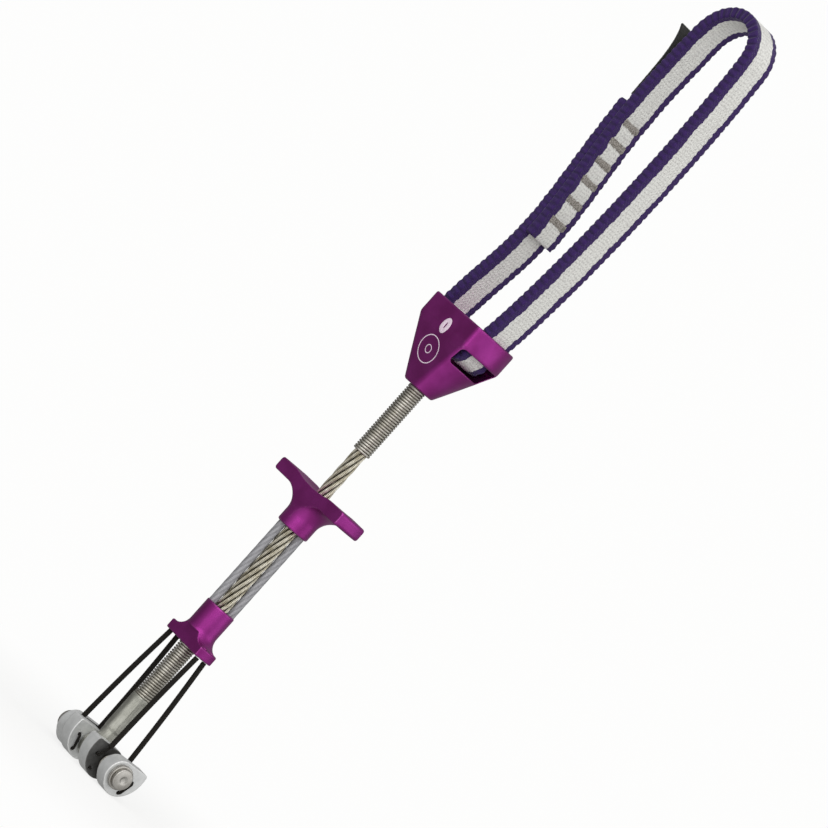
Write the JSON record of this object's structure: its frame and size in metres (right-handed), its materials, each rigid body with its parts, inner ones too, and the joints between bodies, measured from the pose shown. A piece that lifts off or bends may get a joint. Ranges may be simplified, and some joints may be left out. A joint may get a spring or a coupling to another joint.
{
  "type": "spring-loaded camming device",
  "caption": "Small spring-loaded camming device: paired cam lobes on one axle, flexible cable stem with coil guards, finger-bar trigger, thumb block and sewn sling loop.",
  "frame": {"origin": "on the stem axis, level with the lowest point of the cam lobes at rest", "axes": "+Z along the stem from the cam head to the sling, X along the axle and the finger bar, Y across the crack towards the outer lobes' tips"},
  "size_m": [0.035, 0.0166, 0.2679],
  "materials": {
    "stainless": "satin",
    "spring_steel": "satin",
    "steel_rope": "bright drawn wire",
    "lobe_alloy": "fine tumbled satin",
    "cord_black": "braided",
    "coated_cable": "thin coating over strands",
    "purple_anodise": "satin anodised",
    "webbing": "woven, white centre and violet edges",
    "tack_thread": "sewn",
    "label_cloth": "woven ribbon"
  },
  "bodies": {
    "stem": {"stem_terminal": "stainless", "stem_cable": "steel_rope", "lower_coil": "spring_steel", "upper_coil": "spring_steel", "axle": "stainless", "end_washers": "stainless", "lobe_spacers": "stainless", "torsion_springs": "spring_steel", "thumb_block": "purple_anodise", "cable_swage": "stainless", "sling_saddle": "webbing"},
    "trigger": {"trigger_collar": "purple_anodise", "cord_anchors": "cord_black", "trigger_cable_near": "coated_cable", "trigger_cable_far": "coated_cable", "cable_crimps": "stainless", "finger_bar": "purple_anodise"},
    "lobe_a": {"cam_lobe_a": "lobe_alloy", "cord_loop_a": "cord_black"},
    "lobe_b": {"cam_lobe_b": "lobe_alloy", "cord_loop_b": "cord_black"},
    "lobe_c": {"cam_lobe_c": "lobe_alloy", "cord_loop_c": "cord_black"},
    "lobe_d": {"cam_lobe_d": "lobe_alloy", "cord_loop_d": "cord_black"},
    "cord_a": {"cord_sheath_a": "cord_black", "cord_thread_a": "cord_black"},
    "cord_b": {"cord_sheath_b": "cord_black", "cord_thread_b": "cord_black"},
    "cord_c": {"cord_sheath_c": "cord_black", "cord_thread_c": "cord_black"},
    "cord_d": {"cord_sheath_d": "cord_black", "cord_thread_d": "cord_black"},
    "sling": {"sling_loop": "webbing", "sling_return": "webbing", "bar_tacks": "tack_thread", "label_tab": "label_cloth"}
  },
  "joints": [
    {"name": "trigger_slide", "type": "slide", "parent": "stem", "child": "trigger", "axis": [0, 0, 1], "range_m": [0, 0.0045]},
    {"name": "lobe_a_turn", "type": "hinge", "parent": "stem", "child": "lobe_a", "pos_m": [0, 0, 0.00555], "axis": [1, 0, 0], "range_deg": [0, 65]},
    {"name": "lobe_b_turn", "type": "hinge", "parent": "stem", "child": "lobe_b", "pos_m": [0, 0, 0.00555], "axis": [1, 0, 0], "range_deg": [-65, 0]},
    {"name": "lobe_c_turn", "type": "hinge", "parent": "stem", "child": "lobe_c", "pos_m": [0, 0, 0.00555], "axis": [1, 0, 0], "range_deg": [-65, 0]},
    {"name": "lobe_d_turn", "type": "hinge", "parent": "stem", "child": "lobe_d", "pos_m": [0, 0, 0.00555], "axis": [1, 0, 0], "range_deg": [0, 65]},
    {"name": "cord_a_swing", "type": "hinge", "parent": "trigger", "child": "cord_a", "pos_m": [-0.0076, 0.00155, 0.0426], "axis": [1, 0, 0], "range_deg": [-5.3, 0]},
    {"name": "cord_b_swing", "type": "hinge", "parent": "trigger", "child": "cord_b", "pos_m": [-0.0076, -0.00155, 0.0426], "axis": [1, 0, 0], "range_deg": [0, 5.3]},
    {"name": "cord_c_swing", "type": "hinge", "parent": "trigger", "child": "cord_c", "pos_m": [0.0076, -0.00155, 0.0426], "axis": [1, 0, 0], "range_deg": [0, 5.3]},
    {"name": "cord_d_swing", "type": "hinge", "parent": "trigger", "child": "cord_d", "pos_m": [0.0076, 0.00155, 0.0426], "axis": [1, 0, 0], "range_deg": [-5.3, 0]},
    {"name": "sling_swing", "type": "hinge", "parent": "stem", "child": "sling", "pos_m": [0, 0, 0.15805], "axis": [0, 1, 0], "range_deg": [-17, 17]}
  ],
  "couplings": [
    {"joint": "lobe_a_turn", "follows": "trigger_slide", "rad_per_m": 251.98},
    {"joint": "lobe_b_turn", "follows": "trigger_slide", "rad_per_m": -251.98},
    {"joint": "lobe_c_turn", "follows": "trigger_slide", "rad_per_m": -251.98},
    {"joint": "lobe_d_turn", "follows": "trigger_slide", "rad_per_m": 251.98},
    {"joint": "cord_a_swing", "follows": "trigger_slide", "rad_per_m": -20.546},
    {"joint": "cord_b_swing", "follows": "trigger_slide", "rad_per_m": 20.546},
    {"joint": "cord_c_swing", "follows": "trigger_slide", "rad_per_m": 20.546},
    {"joint": "cord_d_swing", "follows": "trigger_slide", "rad_per_m": -20.546}
  ]
}
